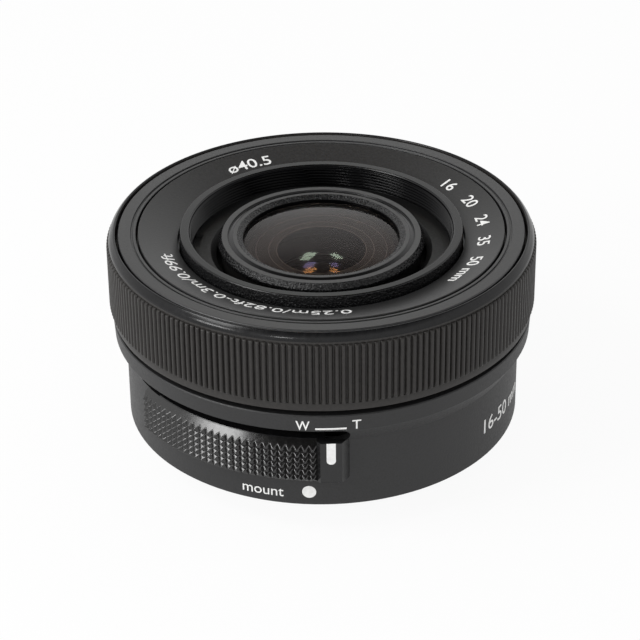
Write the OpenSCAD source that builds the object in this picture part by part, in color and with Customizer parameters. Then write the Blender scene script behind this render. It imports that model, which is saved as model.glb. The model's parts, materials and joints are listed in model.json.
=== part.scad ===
// Compact motor-driven zoom lens for an interchangeable-lens camera, with the barrel drawn in.
// Origin: centre of the mount's seating face. +Z runs along the optical axis towards the subject.
// Angles round the axis count from -Y, the side with the zoom lever, and grow towards +X.

/* [Front barrel] */
// Diameter of the filter thread
filter_d = 40.5; // [37:0.5:49]
// Depth of the filter thread's wall, with the relief under the thread
thread_l = 3.45; // [3:0.05:4]
// Radial width of the rim round the thread
rim_w = 1.45; // [1.2:0.05:2]
// Wall of the front barrel's tube
front_wall = 1.1; // [0.9:0.1:1.4]
// Travel of the front barrel
front_travel = 20; // [16:0.5:21]
// Travel of the middle barrel
middle_travel = 10; // [8:0.5:11]
// Turn of the cam barrel for the full travel, in degrees
cam_turn = 110; // [90:5:115]

/* [Optics] */
// Clear diameter of the front glass
glass_d = 24.1; // [20:0.1:25]
// Outer diameter of the flat face of the ring round the front glass
bezel_d = 30.66; // [29:0.02:31.5]
// Depth of that ring's face below the rim
bezel_drop = 1.4; // [1:0.1:2]
// Travel of the focusing lens
focus_travel = 1.5; // [1:0.1:1.8]
// Travel of the stabiliser to each side
shake_travel = 0.25; // [0.1:0.05:0.3]

/* [Walls and clearances] */
// Wall of the middle barrel and of the guide tube
tube_wall = 0.8; // [0.6:0.05:1]
// Wall of the cam barrel
cam_wall = 1.6; // [1.5:0.05:1.9]
// Radial gap between the sliding tubes
slide_gap = 0.3; // [0.2:0.05:0.4]
// Diameter of the cam followers
pin_d = 1.5; // [1.2:0.1:1.6]
// Clearance of a follower in its slot or groove, on each side
pin_play = 0.15; // [0.1:0.05:0.2]
// Wall of the rear housing
body_wall = 1.36; // [1:0.02:1.8]
// Wall of the sleeve that the control ring turns on
sleeve_wall = 1.3; // [1:0.1:1.6]
// Radial play of the control ring on its sleeve
ring_play = 0.15; // [0.1:0.05:0.25]

/* [Control ring] */
// Radial thickness of the control ring
ring_wall = 2.65; // [2.4:0.05:3.2]
// Height of the control ring
ring_h = 12.9; // [12:0.1:14.5]
// Dark gap between the control ring and the housing
ring_gap_h = 0.9; // [0.5:0.1:1.3]
// Number of ribs round the control ring
rib_count = 214; // [120:2:240]
// Depth of the grooves between the ribs
rib_depth = 0.5; // [0.3:0.05:0.8]
// Smooth lip under the ribs
lip_low_h = 1.3; // [0.8:0.1:2]
// Smooth bevelled lip above the ribs
lip_top_h = 1.6; // [1.2:0.1:2]

/* [Rear housing and lever] */
// Height of the rear housing up to the dark gap
body_h = 17.5; // [17:0.1:19]
// Height of the overhanging band at its top
band_h = 2.7; // [2:0.1:3.2]
// Height of the undercut below that band
cone_h = 2.72; // [2.2:0.02:3]
// Height of the zoom lever's plate
lever_h = 7; // [5:0.1:8]
// Angle of the lever's left end
lever_a0 = -58; // [-66:1:-40]
// Angle where the knurling ends and the index plate starts
knurl_a1 = -1.2; // [-6:0.2:1]
// Angle of the right end of the index plate
lever_a1 = 5.4; // [4:0.2:8]
// Swing of the lever to each side, in degrees
lever_swing = 4; // [2:0.5:5]
// Columns of pyramids on the lever
knurl_cols = 27; // [18:1:32]
// Rows of pyramids on the lever
knurl_rows = 6; // [4:1:7]

/* [Mount] */
// Outer diameter of the mount's flange
flange_d = 57; // [55:0.5:57]
// Thickness of the flange
flange_t = 1.4; // [1.2:0.1:1.8]
// Diameter of the neck that goes into the camera
neck_d = 43.5; // [42:0.1:44]
// Diameter over the bayonet lugs
lug_d = 46; // [45:0.1:46.4]
// Reach of the neck behind the flange
neck_l = 4.6; // [4.4:0.1:5.5]
// Number of mount screws
screw_count = 4; // [3:1:6]
// Number of electrical contacts
contact_count = 10; // [6:1:12]

/* [Zoom drive] */
// Module of the zoom gears
gear_m = 0.35; // [0.3:0.01:0.4]
// Teeth of the motor's pinion
pinion_n = 10; // [9:1:12]
// Diameter of the zoom motor
motor_d = 3.9; // [3.2:0.1:4.1]

/* [Hidden] */
$fn = 128;
eps = 0.01;

// Heights, from the mount face up
lip_t = 0.8;
deck_t = 0.8;
base_z = flange_t + lip_t;
deck_z = base_z + deck_t;
cam_z = deck_z + 0.3;
middle_floor_t = 1;
middle_z = base_z;
middle_floor_z = middle_z + middle_floor_t;
front_z = middle_floor_z + slide_gap;
front_pin_z = front_z + pin_d / 2 + 0.25;
middle_pin_z = front_pin_z + 1;
ring_z = body_h + ring_gap_h;
top_z = ring_z + ring_h;
face_z = top_z - 0.1;
rim_z = top_z - 0.05;
rim_chamfer = 0.2;
floor_z = rim_z - rim_chamfer - thread_l;
floor_ring_t = 0.6;
ledge_z = floor_z - floor_ring_t;
cap_z = ledge_z - 0.4;
middle_top = cap_z - slide_gap;
guide_top = face_z - 3;
cam_top = guide_top - 0.6;
bezel_z = rim_z - bezel_drop;
bezel_seat_z = bezel_z - 1.5;
thread_end_z = bezel_z + 0.02;
thread_relief = 0.25;

// Radii, from the optical axis out
thread_r = filter_d / 2;
rim_r = thread_r + rim_w;
front_r = thread_r + 0.25;
front_ri = front_r - front_wall;
middle_ri = front_r + slide_gap;
middle_r = middle_ri + tube_wall;
guide_ri = middle_r + slide_gap;
guide_r = guide_ri + tube_wall;
cam_ri = guide_r + slide_gap;
cam_r = cam_ri + cam_wall;
groove_depth = cam_wall - 0.45;
pin_tip_r = cam_ri + groove_depth - 0.15;
gear_n = ceil(2 * (cam_r + 0.1) / gear_m + 2.5);
gear_rp = gear_m * gear_n / 2;
pinion_rp = gear_m * pinion_n / 2;
motor_r = gear_rp + pinion_rp;
drive_half_w = max(motor_d / 2, pinion_rp + gear_m);
body_ri = motor_r + drive_half_w + 0.25;
body_r = body_ri + body_wall;
sleeve_ri = body_ri - 0.4;
sleeve_r = sleeve_ri + sleeve_wall;
ring_ri = sleeve_r + ring_play;
ring_r = ring_ri + ring_wall;
ring_edge_r = ring_r - 0.7 * rib_depth;
band_r = ring_r - 0.5;
band_low_r = band_r - 0.15;
trim_r = sleeve_r + 1;
ring_lip_ri = trim_r + 0.4;
name_r = sleeve_ri - 0.8;
name_ri = rim_r + 0.35;
trim_ri = name_r + 0.35;
trim_bead_r = trim_ri + 0.45;
trim_step_r = trim_bead_r + 0.35;
ledge_ri = name_r - 1.5;
name_dish = 0.285;

// Lever
cone_z1 = body_h - band_h;
cone_z0 = cone_z1 - cone_h;
lever_r = band_r - 0.2;
lever_ri = body_r + 0.2;
lever_z1 = cone_z0 + 0.52;
lever_z0 = lever_z1 - lever_h;
lever_end_a = lever_a1 + 2.5;
arm_t = 0.55;
arm_z = lever_z1 - arm_t;
slot_z0 = arm_z - 0.15;
slot_z1 = cone_z1 - 0.1;
slot_a0 = lever_a0 - 1;
slot_a1 = lever_a1 + 2.6;
slot_w = slot_z1 - slot_z0;
slot_end_d = slot_w - 0.1;
slot_end_a = slot_w / 2 / body_r * 180 / PI;
arm_a0 = slot_a0 + slot_end_a + lever_swing + 0.3;
arm_a1 = slot_a1 - slot_end_a - lever_swing - 0.3;
slider_r = body_ri - 0.4;
slider_ri = slider_r - 1.4;
slider_a0 = arm_a0 + 8;
slider_a1 = arm_a1 - 8;

// Mount
neck_r = neck_d / 2;
neck_ri = neck_r - 1.55;
waist_r = neck_r - 0.25;
lug_r = lug_d / 2;
flange_r = flange_d / 2;
relief_r = lug_r + 0.4;
screw_r = (relief_r + flange_r) / 2 + 0.25;
lug_z0 = -3.1;
pilot_z = lug_z0 - 0.1;
lug_z1 = -1.6;
lugs = [[20, 62], [140, 55], [258, 50]];
dot_a = -3.5;
dot_z = 2.88;
dot_d = 2.1;
dot_t = 0.3;
contact_a = 180;
contact_span = 56;

// Zoom drive
drive_a = 40;
gear_z1 = cam_z + 2.2;
bracket_z = gear_z1 + 0.2;
bracket_t = 0.5;
motor_z = bracket_z + bracket_t;
front_pin_a = 95;
middle_pin_a = front_pin_a - 31;

// Group 2 and focusing, carried by the middle barrel
group_r = front_ri - 0.8;
group_wall = 1;
focus_motor_d = 4.2;
rod_r = group_r - group_wall - focus_motor_d / 2 - 1;
rod_d = 1.2;
rod_a = [60, 240];
focus_a = 150;
focus_z = middle_floor_z + 1;
focus_h = 2;
focus_nut_h = 1;
focus_motor_h = 2.8;
plate_z = focus_z + focus_nut_h + focus_travel + 0.7 + focus_motor_h;
plate_t = 0.8;
screw_d = 1.2;
guide_plate_z = plate_z + plate_t + 0.2;
guide_plate_t = 0.3;
frame_z = guide_plate_z + guide_plate_t + 0.2;
frame_t = 1.9;
post_r = group_r - 1.2;
post_d = 1.6;
iris_z = frame_z + frame_t + 0.6;
iris_plate_t = 0.4;
doublet_r = 7.5;
lens_wall = 1.1;

// Iris
blade_count = 7;
iris_open_r = 7.2;
pivot_r = 12.2;
crank = 1.4;
crank_a = 18;
blade_t = 0.1;
blade_pitch = 0.14;
blade_z = iris_z + iris_plate_t + 0.06;
iris_pin_d = 0.8;
iris_ring_z = blade_z + blade_count * blade_pitch + 0.1;
iris_ring_t = 0.35;
iris_ring_r = pivot_r + 1;
iris_cover_z = iris_ring_z + iris_ring_t + 0.1;

// Front group, carried by the front barrel
cell_r = bezel_d / 2;
cell_z = iris_cover_z + 2.7;
web_z = bezel_seat_z - 6.35;
glass_r = glass_d / 2;
front_edge_r = glass_r + 0.45;
front_glass_z = bezel_seat_z - 2.95;
second_r = front_edge_r - 1.5;
second_z = front_glass_z - 2.8;
third_r = second_r - 0.8;
third_z = cell_z + 0.4;

// Helpers
module at(a) {
  rotate([0, 0, a - 90]) children();
}

module tube(ro, ri, z0, z1) {
  translate([0, 0, z0]) difference() {
    cylinder(r = ro, h = z1 - z0);
    translate([0, 0, -1]) cylinder(r = ri, h = z1 - z0 + 2);
  }
}

module revolve(points) {
  rotate_extrude() polygon(points);
}

// Part of a ring between two angles
module arc_band(r0, r1, z0, z1, a0, a1) {
  at(a0) rotate_extrude(angle = a1 - a0) translate([r0, z0]) square([r1 - r0, z1 - z0]);
}

// Round bar that points away from the axis
module radial_bar(a, z, d, r0, r1) {
  at(a) translate([r0, 0, z]) rotate([0, 90, 0]) cylinder(d = d, h = r1 - r0);
}

// Straight slot along the axis with round ends, cut through a tube wall
module axial_slot(a, z0, z1, w, r0, r1) {
  radial_bar(a, z0, w, r0, r1);
  radial_bar(a, z1, w, r0, r1);
  at(a) translate([r0, -w / 2, z0]) cube([r1 - r0, w, z1 - z0]);
}

// Corners of one gear tooth that points along angle a
function tooth(a, pitch_a, root_r, tip_r, root_w, tip_w) = [
  for (c = [[root_r, -root_w], [tip_r, -tip_w], [tip_r, tip_w], [root_r, root_w]])
    [c[0] * cos(a + c[1] * pitch_a), c[0] * sin(a + c[1] * pitch_a)]
];

// Lens blank of radius r between z0 and z1 at its edge: a positive sag bulges out, a negative one is hollow
module glass(r, z0, z1, front_sag, rear_sag) {
  rear = bowl(r, z0, -rear_sag, 1);
  front = bowl(r, z1, front_sag, -1);
  revolve(concat([[0, z0 - rear_sag]], rear, front, [[0, z1 + front_sag]]));
}

// Points of a spherical surface from near its crown to its rim (way 1) or back (way -1).
// A hollow surface ends in a flat rim.
function bowl(r, z, sag, way) =
  let (foot = sag * way < 0 ? r : r - rim_flat,
    ball_r = (foot * foot + sag * sag) / (2 * abs(sag)),
    step = asin(foot / ball_r) / bowl_steps,
    curve = [for (i = [1 : bowl_steps]) [ball_r * sin(i * step),
      z + sag - sign(sag) * ball_r * (1 - cos(i * step))]],
    points = foot < r ? concat(curve, [[r, z]]) : curve)
  way > 0 ? points : [for (i = [len(points) - 1 : -1 : 0]) points[i]];

rim_flat = 0.6;
bowl_steps = 10;

// Rear mount
module bayonet_mount() {
  color("#b9bbbd") difference() {
    union() {
      revolve([[neck_ri, flange_t], [flange_r, flange_t], [flange_r, 0.15], [flange_r - 0.15, 0],
        [relief_r, 0], [relief_r, 0.3], [waist_r, 0.3], [waist_r, pilot_z], [neck_r, pilot_z],
        [neck_r, 0.2 - neck_l], [neck_r - 0.2, -neck_l], [neck_ri, -neck_l]]);
      for (lug = lugs) arc_band(waist_r - 0.2, lug_r, lug_z0, lug_z1, lug[0], lug[0] + lug[1]);
    }
    mount_screw_holes();
    at(100) translate([screw_r - 0.4, 0, -1]) cylinder(d = 2.6, h = 1.9);
  }
}

module screw_places() {
  for (i = [0 : screw_count - 1]) at(45 + i * 360 / screw_count) translate([screw_r, 0, 0]) children();
}

// Countersunk holes that the screws pass through on their way to the guide tube's foot
module mount_screw_holes() {
  screw_places() {
    translate([0, 0, -1]) cylinder(d = 1.3, h = deck_z + 2);
    translate([0, 0, -eps]) cylinder(d1 = 2.9, d2 = 1.3, h = 0.8);
  }
}

module mount_screws() {
  color("#8d8f92") screw_places() difference() {
    union() {
      translate([0, 0, 0.12]) cylinder(d1 = 2.6, d2 = 1.2, h = 0.7);
      translate([0, 0, 0.12]) cylinder(d = 1.2, h = deck_z - 0.12);
    }
    for (turn = [0, 90]) rotate([0, 0, turn]) translate([-0.6, -0.14, -0.2]) cube([1.2, 0.28, 0.6]);
  }
}

module contact_block() {
  color("#1b1b1d") difference() {
    arc_band(neck_ri - 3.2, neck_ri - 0.05, 0.3 - neck_l, -1.2, contact_a - contact_span / 2,
      contact_a + contact_span / 2);
    for (i = [0 : contact_count - 1]) contact_place(i) translate([0, 0, -neck_l]) cylinder(d = 1.1, h = 4);
  }
}

module contact_place(i) {
  step = (contact_span - 6) / contact_count;
  at(contact_a + (i - (contact_count - 1) / 2) * step) translate([neck_ri - 1.6, 0, 0]) children();
}

module contact_pins() {
  color("#d8b04a") for (i = [0 : contact_count - 1]) contact_place(i) {
    translate([0, 0, 0.15 - neck_l]) cylinder(d = 1.04, h = neck_l - 1.4);
  }
}

module rear_baffle() {
  color("#141416") difference() {
    union() {
      translate([0, 0, 0.4 - neck_l]) cylinder(r = neck_ri - 0.05, h = 0.8);
      translate([0, 0, 1 - neck_l]) cylinder(r = 10.8, h = neck_l - 1.2);
    }
    arc_band(neck_ri - 3.4, neck_ri + 1, -neck_l, 0, contact_a - contact_span / 2 - 1.5,
      contact_a + contact_span / 2 + 1.5);
    translate([-10, -6.8, -neck_l - 1]) cube([20, 13.6, 2]);
    translate([0, 0, 1.1 - neck_l]) cylinder(r = 9.4, h = neck_l);
    translate([0, 0, 0.9 - neck_l]) cylinder(r = 8.6, h = neck_l);
  }
}

module rear_element() {
  color("#9fb4c4", 0.5) glass(9.35, 1.1 - neck_l, 2.6 - neck_l, 0.9, -0.1);
}

// Fixed shells
module rear_housing() {
  color("#3b3b3d") difference() {
    revolve([[body_r - 0.26, 0.45], [body_r, 0.7], [body_r, cone_z0], [band_low_r, cone_z1],
      [band_r, body_h - 0.15], [band_r - 0.15, body_h], [sleeve_r, body_h], [sleeve_r, face_z - 1.9],
      [sleeve_ri, face_z - 1.9], [sleeve_ri, body_h - 0.5], [body_ri, body_h - 0.9], [body_ri, base_z],
      [relief_r + 1.8, base_z], [relief_r + 1.8, flange_t], [flange_r + 0.2, flange_t],
      [flange_r + 0.2, 0.45]]);
    lever_slot();
    mount_screw_holes();
    radial_bar(dot_a, dot_z, dot_d + 0.02, body_r - dot_t, body_r + 1);
    arc_band(sleeve_ri - 1, sleeve_r + 0.04, ring_z + 2.1, ring_z + 6.1, 86, 94);
  }
}

module lever_slot() {
  first = slot_a0 + slot_end_a;
  last = slot_a1 - slot_end_a;
  arc_band(body_ri - 1, band_r + 1, slot_z0, slot_z1, first, last);
  for (a = [first, last]) radial_bar(a, (slot_z0 + slot_z1) / 2, slot_end_d, body_ri - 1, band_r + 1);
}

module mount_index_dot() {
  color("#f2f2f0") radial_bar(dot_a, dot_z, dot_d, body_r - dot_t, body_r + 0.01);
}

module guide_tube() {
  color("#7d8084") difference() {
    revolve([[guide_ri, base_z], [body_ri - 0.9, base_z], [body_ri - 0.9, deck_z], [guide_r, deck_z],
      [guide_r, guide_top], [guide_ri, guide_top]]);
    for (i = [0 : 2]) {
      axial_slot(middle_pin_a + 120 * i, middle_pin_z, middle_pin_z + middle_travel, pin_d + 2 * pin_play,
        guide_ri - 1, guide_r + 0.2);
      axial_slot(front_pin_a + 120 * i, front_pin_z, front_pin_z + front_travel, pin_d + 2 * pin_play,
        guide_ri - 1, guide_r + 0.2);
    }
    mount_screw_holes();
  }
}

module cam_retaining_ring() {
  color("#9a9da1") tube(cam_r - 0.3, guide_r, cam_top + 0.2, guide_top);
}

module front_trim_ring() {
  color("#454547") revolve([[trim_r, face_z - 1.9], [trim_r, face_z - 0.15], [trim_r - 0.15, face_z],
    [trim_step_r, face_z], [trim_step_r, face_z - 0.3], [trim_bead_r, face_z - 0.3],
    [trim_bead_r, face_z - 0.06], [trim_ri, face_z - 0.06], [trim_ri, face_z - 2], [ledge_ri, face_z - 2],
    [ledge_ri, face_z - 2.8], [sleeve_ri - 0.05, face_z - 2.8], [sleeve_ri - 0.05, face_z - 1.9]]);
}

module name_ring() {
  dish = (name_r - name_ri) * name_dish;
  color("#434345") revolve([[name_r, face_z - 0.1], [name_r - 0.1, face_z], [name_ri + 0.08, face_z - dish],
    [name_ri, face_z - dish - 0.08], [name_ri, face_z - dish - 0.55], [name_r - 1, face_z - 0.95],
    [name_r - 1, face_z - 2], [name_r, face_z - 2]]);
}

// Works between the cam barrel and the housing
module circuit_board() {
  color("#1f5a3a") difference() {
    arc_band(gear_rp + 1, body_ri - 0.9, deck_z, deck_z + 0.8, 62, 290);
    for (a = [70, 176, 282]) at(a) translate([motor_r, 0, deck_z - 1]) cylinder(d = 1.2, h = 3);
  }
}

module board_chips() {
  color("#202124") for (chip = [[95, 3.2], [125, 2.2], [150, 2.6], [205, 3.4], [232, 2], [258, 2.8]]) {
    at(chip[0]) translate([motor_r - 0.7, -chip[1] / 2, deck_z + 0.8]) cube([1.5, chip[1], 0.7]);
  }
}

module zoom_motor() {
  color("#a7a9ac") at(drive_a) translate([motor_r, 0, motor_z]) {
    difference() {
      union() {
        cylinder(d = motor_d, h = 9);
        cylinder(d = motor_d - 1, h = 9.8);
      }
      translate([0, 0, -1]) cylinder(d = 1.2, h = 1.6);
    }
  }
}

module motor_bracket() {
  color("#8b8e92") difference() {
    union() {
      arc_band(cam_r + 0.35, body_ri - 0.35, bracket_z, motor_z, drive_a - 13, drive_a + 13);
      for (side = [-1, 1]) {
        a = drive_a + side * 10.5;
        arc_band(gear_rp + gear_m + 0.4, body_ri - 0.95, deck_z, motor_z, a - 2.4, a + 2.4);
      }
    }
    at(drive_a) translate([motor_r, 0, bracket_z - 1]) cylinder(d = 1.4, h = bracket_t + 2);
  }
}

module ring_sensor() {
  color("#232327") arc_band(sleeve_ri - 1.6, sleeve_r - 0.15, ring_z + 2.3, ring_z + 5.9, 86.4, 93.6);
}

module lever_sensor() {
  middle_a = (slider_a0 + slider_a1) / 2;
  color("#2a2b2f") union() {
    arc_band(slider_ri - 0.9, slider_ri - 0.5, deck_z, slot_z1 + 0.5, middle_a - 7, middle_a + 7);
    arc_band(slider_ri - 0.6, slider_ri - 0.2, arm_z - 0.4, slot_z1, middle_a - 5, middle_a + 5);
  }
}

// Control ring: its ribs stand out beyond the smooth lips above and below them
rib_z0 = ring_z + lip_low_h;
rib_z1 = top_z - lip_top_h;
rib_end = 0.3;

module control_ring() {
  crest_z = top_z - 0.1;
  shoulder_z = face_z - 2.2;
  color("#2b2b2d") difference() {
    revolve([[ring_ri, ring_z + 0.1], [ring_ri + 0.1, ring_z], [ring_edge_r - 0.15, ring_z],
      [ring_edge_r, ring_z + 0.15], [ring_edge_r, rib_z0], [ring_r, rib_z0 + rib_end],
      [ring_r, rib_z1 - rib_end], [ring_edge_r, rib_z1], [ring_edge_r, top_z - 1.1],
      [ring_edge_r - 0.1, top_z - 0.8], [ring_edge_r - 0.3, top_z - 0.45], [ring_lip_ri + 0.4, crest_z],
      [ring_lip_ri + 0.2, top_z], [ring_lip_ri, crest_z], [ring_lip_ri, shoulder_z], [ring_ri, shoulder_z]]);
    rib_grooves();
    encoder_seat();
  }
}

// Ring-shaped cutter whose inner edge is toothed, so that the ribs are left standing
module rib_grooves() {
  pitch_a = 360 / rib_count;
  outline = [for (i = [0 : rib_count - 1]) each
    tooth(i * pitch_a, pitch_a, ring_r - rib_depth, ring_r + 0.4, 0.3, 0.18)];
  translate([0, 0, rib_z0 - 0.1]) linear_extrude(height = rib_z1 - rib_z0 + 0.2) difference() {
    circle(r = ring_r + 0.2);
    polygon(outline);
  }
}

module encoder_seat() {
  translate([0, 0, ring_z + 1.9]) cylinder(r = ring_ri + 0.35, h = 4.4);
}

module encoder_strip() {
  color("#c9cbd0") difference() {
    tube(ring_ri + 0.35, ring_ri + 0.1, ring_z + 1.9, ring_z + 6.3);
    for (i = [0 : 35]) at(i * 10) translate([ring_ri - 1, -1.2, ring_z + 2.6]) cube([3, 2.4, 3]);
  }
}

// Zoom lever
module zoom_lever() {
  color("#3a3a3c") difference() {
    union() {
      at(lever_a0) rotate_extrude(angle = lever_end_a - lever_a0) polygon(lever_section());
      arc_band(slider_ri, lever_r - 0.8, arm_z, lever_z1, arm_a0, arm_a1);
    }
    lever_end_slope();
    lever_bevel();
    knurl_rings();
    knurl_uprights();
  }
}

function lever_section() = [[lever_ri, lever_z0 + 0.1], [lever_ri + 0.1, lever_z0],
  [lever_r - 0.12, lever_z0], [lever_r, lever_z0 + 0.12], [lever_r, lever_z1 - 0.1],
  [lever_r - 0.1, lever_z1], [lever_ri + 0.39, lever_z1], [lever_ri, lever_z1 - 0.75]];

// Wedge that slopes the lever's right end down to the body
module lever_end_slope() {
  run = (lever_end_a - lever_a1) * PI / 180 * lever_r;
  drop = lever_r - lever_ri + 0.25;
  at(lever_a1) translate([lever_r, 0, lever_z0 - 1]) linear_extrude(height = lever_h + 2)
    polygon([[0.05, 0], [-drop, run * 1.02], [-drop, run + 2], [3, run + 2], [3, 0]]);
}

knurl_depth = 0.6;
knurl_row_h = (lever_h - 1) / knurl_rows;
knurl_col_a = (knurl_a1 - lever_a0) / knurl_cols;
knurl_flat = 0.1;

// Bevel above the pyramids: it starts at the tips of the top row and falls back to the slot
module lever_bevel() {
  tip_z = lever_z0 + (knurl_rows - 0.5) * knurl_row_h + knurl_flat / 2;
  over = 0.2;
  top = lever_z1 - tip_z + over;
  at(lever_a0 - 1) rotate_extrude(angle = knurl_a1 - lever_a0 + 1) translate([lever_r, tip_z])
    polygon([[over, -over], [over, top], [-top, top]]);
}

// Comb of n + 1 V-grooves one pitch apart, as points of depth below zero and place along a line.
// They start a little above zero, so that the cut goes clean through the surface.
function comb(n, pitch, depth) = let (over = 0.03, half = (pitch - knurl_flat) / 2 * (1 + over / depth))
  [for (i = [0 : n]) each [[over, i * pitch - half], [-depth, i * pitch], [over, i * pitch + half]]];

// Level V-grooves between the rows of pyramids
module knurl_rings() {
  teeth = comb(knurl_rows - 1, knurl_row_h, knurl_depth - 0.06);
  outline = concat(teeth, [[1, teeth[len(teeth) - 1][1]], [1, teeth[0][1]]]);
  at(lever_a0 - 1) rotate_extrude(angle = knurl_a1 - lever_a0 + 1)
    translate([lever_r, lever_z0]) polygon(outline);
}

// Upright V-grooves between the columns of pyramids
module knurl_uprights() {
  pitch = lever_r * knurl_col_a * PI / 180;
  teeth = comb(knurl_cols, pitch, knurl_depth);
  far = concat(teeth, [for (i = [knurl_cols : -1 : 0]) [1, i * pitch]]);
  outline = [for (p = far) let (a = p[1] / lever_r * 180 / PI) (lever_r + p[0]) * [cos(a), sin(a)]];
  start_z = lever_z0 - 0.5;
  end_z = lever_z1 + 0.2;
  translate([0, 0, start_z]) at(lever_a0) linear_extrude(height = end_z - start_z)
    polygon(outline);
}

module lever_slider() {
  color("#55585c") union() {
    arc_band(slider_ri, slider_r, lever_z1, slot_z1 - 0.3, slider_a0, slider_a1);
    arc_band(slider_ri + 0.3, slider_ri + 0.8, lever_z1 + 0.5, slot_z1 + 0.8, slider_a0 + 12, slider_a1 - 12);
  }
}

// Cam barrel: turns outside the guide tube and pulls both barrels along by their followers
module cam_barrel() {
  color("#6d7074") difference() {
    union() {
      translate([0, 0, cam_z]) cylinder(r = cam_r, h = cam_top - cam_z);
      sector_gear();
    }
    translate([0, 0, cam_z - 1]) cylinder(r = cam_ri, h = cam_top - cam_z + 2);
    for (i = [0 : 2]) {
      cam_groove(middle_pin_a + 120 * i, middle_pin_z, middle_travel);
      cam_groove(front_pin_a + 120 * i, front_pin_z, front_travel);
    }
  }
}

// Helical groove that a follower at angle a climbs as the barrel turns forwards
module cam_groove(a, z, rise) {
  path_r = cam_ri + groove_depth / 2;
  lead = atan2(rise, path_r * cam_turn * PI / 180);
  half_a = (pin_d / 2 + pin_play) / sin(lead) / path_r * 180 / PI;
  over = pin_d / 2 + pin_play + 0.05;
  per_mm = cam_turn / rise;
  inner = cam_ri - 0.4;
  outer = cam_ri + groove_depth;
  corners = [[inner, -1], [outer, -1], [outer, -0.33], [outer, 0.33], [outer, 1], [inner, 1], [inner, 0]];
  translate([0, 0, z - over]) at(a + over * per_mm)
    linear_extrude(height = rise + 2 * over, twist = cam_turn + 2 * over * per_mm, slices = 26, segments = 7)
      polygon([for (c = corners) c[0] * [cos(c[1] * half_a), sin(c[1] * half_a)]]);
}

// Teeth only where the pinion reaches them during the turn
module sector_gear() {
  pitch_a = 360 / gear_n;
  last = ceil(10 / pitch_a);
  first = -ceil((cam_turn + 10) / pitch_a);
  root = gear_rp - 1.25 * gear_m;
  outline = concat([for (i = [first : last]) each
      tooth(i * pitch_a, pitch_a, root, gear_rp + gear_m, 0.27, 0.12)],
    [for (i = [last : -4 : first - 3]) (cam_r - 0.5) * [cos(i * pitch_a), sin(i * pitch_a)]]);
  translate([0, 0, cam_z]) at(drive_a) linear_extrude(height = gear_z1 - cam_z) polygon(outline);
}

module drive_pinion() {
  pitch_a = 360 / pinion_n;
  outline = [for (i = [0 : pinion_n - 1]) each
    tooth((i + 0.5) * pitch_a, pitch_a, pinion_rp - 1.2 * gear_m, pinion_rp + 0.9 * gear_m, 0.25, 0.09)];
  color("#c6a75a") at(drive_a) translate([motor_r, 0, 0]) union() {
    translate([0, 0, cam_z]) rotate([0, 0, 180]) linear_extrude(height = gear_z1 - cam_z) polygon(outline);
    translate([0, 0, deck_z + 0.1]) cylinder(d = 0.8, h = motor_z - deck_z + 0.4);
  }
}

// Middle barrel and what it carries
module middle_barrel() {
  color("#343436") difference() {
    revolve([[rod_r - 2, middle_z], [middle_r, middle_z], [middle_r, middle_top], [middle_ri, middle_top],
      [middle_ri, middle_floor_z], [rod_r - 2, middle_floor_z]]);
    for (i = [0 : 2]) {
      axial_slot(front_pin_a + 120 * i, front_pin_z, front_pin_z + front_travel - middle_travel,
        pin_d + 2 * pin_play, middle_ri - 0.2, middle_r + 1);
      radial_bar(middle_pin_a + 120 * i, middle_pin_z, pin_d + 0.04, middle_ri - 0.2, middle_r + 1);
    }
    rod_places(rod_d + 0.04, middle_floor_z - 0.6);
    at(focus_a) translate([rod_r, 0, middle_floor_z - 0.6]) cylinder(d = screw_d + 0.1, h = 2);
  }
}

module rod_places(d, z) {
  for (a = rod_a) at(a) translate([rod_r, 0, z]) cylinder(d = d, h = plate_z + plate_t - z + 1);
}

module middle_followers() {
  color("#b08d4f") for (i = [0 : 2]) {
    radial_bar(middle_pin_a + 120 * i, middle_pin_z, pin_d, middle_ri + 0.02, pin_tip_r);
  }
}

// Cage on the middle barrel's floor: wall, plate and the posts that hold the iris
module group_2_base() {
  hole_r = doublet_r + lens_wall + 0.9;
  color("#26262a") difference() {
    union() {
      revolve([[group_r, middle_floor_z], [group_r, plate_z + plate_t], [hole_r, plate_z + plate_t],
        [hole_r, plate_z], [group_r - group_wall, plate_z], [group_r - group_wall, middle_floor_z]]);
      for (i = [0 : 2]) at(30 + 120 * i) translate([post_r, 0, plate_z + plate_t / 2])
        cylinder(d = post_d, h = iris_z - plate_z - plate_t / 2);
    }
    rod_places(rod_d + 0.04, plate_z - 1);
    at(focus_a) translate([rod_r, 0, plate_z + 0.3]) cylinder(d = 1, h = 2);
  }
}

module guide_rods() {
  color("#c3c6ca") for (a = rod_a) at(a) translate([rod_r, 0, middle_floor_z - 0.5])
    cylinder(d = rod_d, h = plate_z + plate_t - middle_floor_z + 0.4);
}

module focus_motor() {
  color("#9b9ea3") at(focus_a) translate([rod_r, 0, plate_z - focus_motor_h]) difference() {
    cylinder(d = focus_motor_d, h = focus_motor_h);
    translate([0, 0, -1]) cylinder(d = screw_d + 0.2, h = 2);
  }
}

module iris_base() {
  color("#1c1c1e") difference() {
    union() {
      tube(group_r, iris_open_r, iris_z, iris_z + iris_plate_t);
      tube(iris_ring_r + 1, iris_ring_r + 0.2, iris_z, iris_cover_z);
    }
    for (i = [0 : blade_count - 1]) at(i * 360 / blade_count) translate([pivot_r, 0, iris_z - 1])
      cylinder(d = iris_pin_d + 0.1, h = iris_plate_t + 2);
  }
}

module iris_cover() {
  color("#1c1c1e") tube(iris_ring_r + 1, iris_open_r, iris_cover_z, iris_cover_z + 0.3);
}

module stabiliser_coils() {
  color("#b5652b") for (a = [0, 90]) at(a) translate([11.8, 0, iris_z - 0.3]) difference() {
    translate([-1.4, -3, 0]) cube([2.8, 6, 0.3]);
    translate([-0.5, -2, -1]) cube([1, 4, 2]);
  }
}

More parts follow.
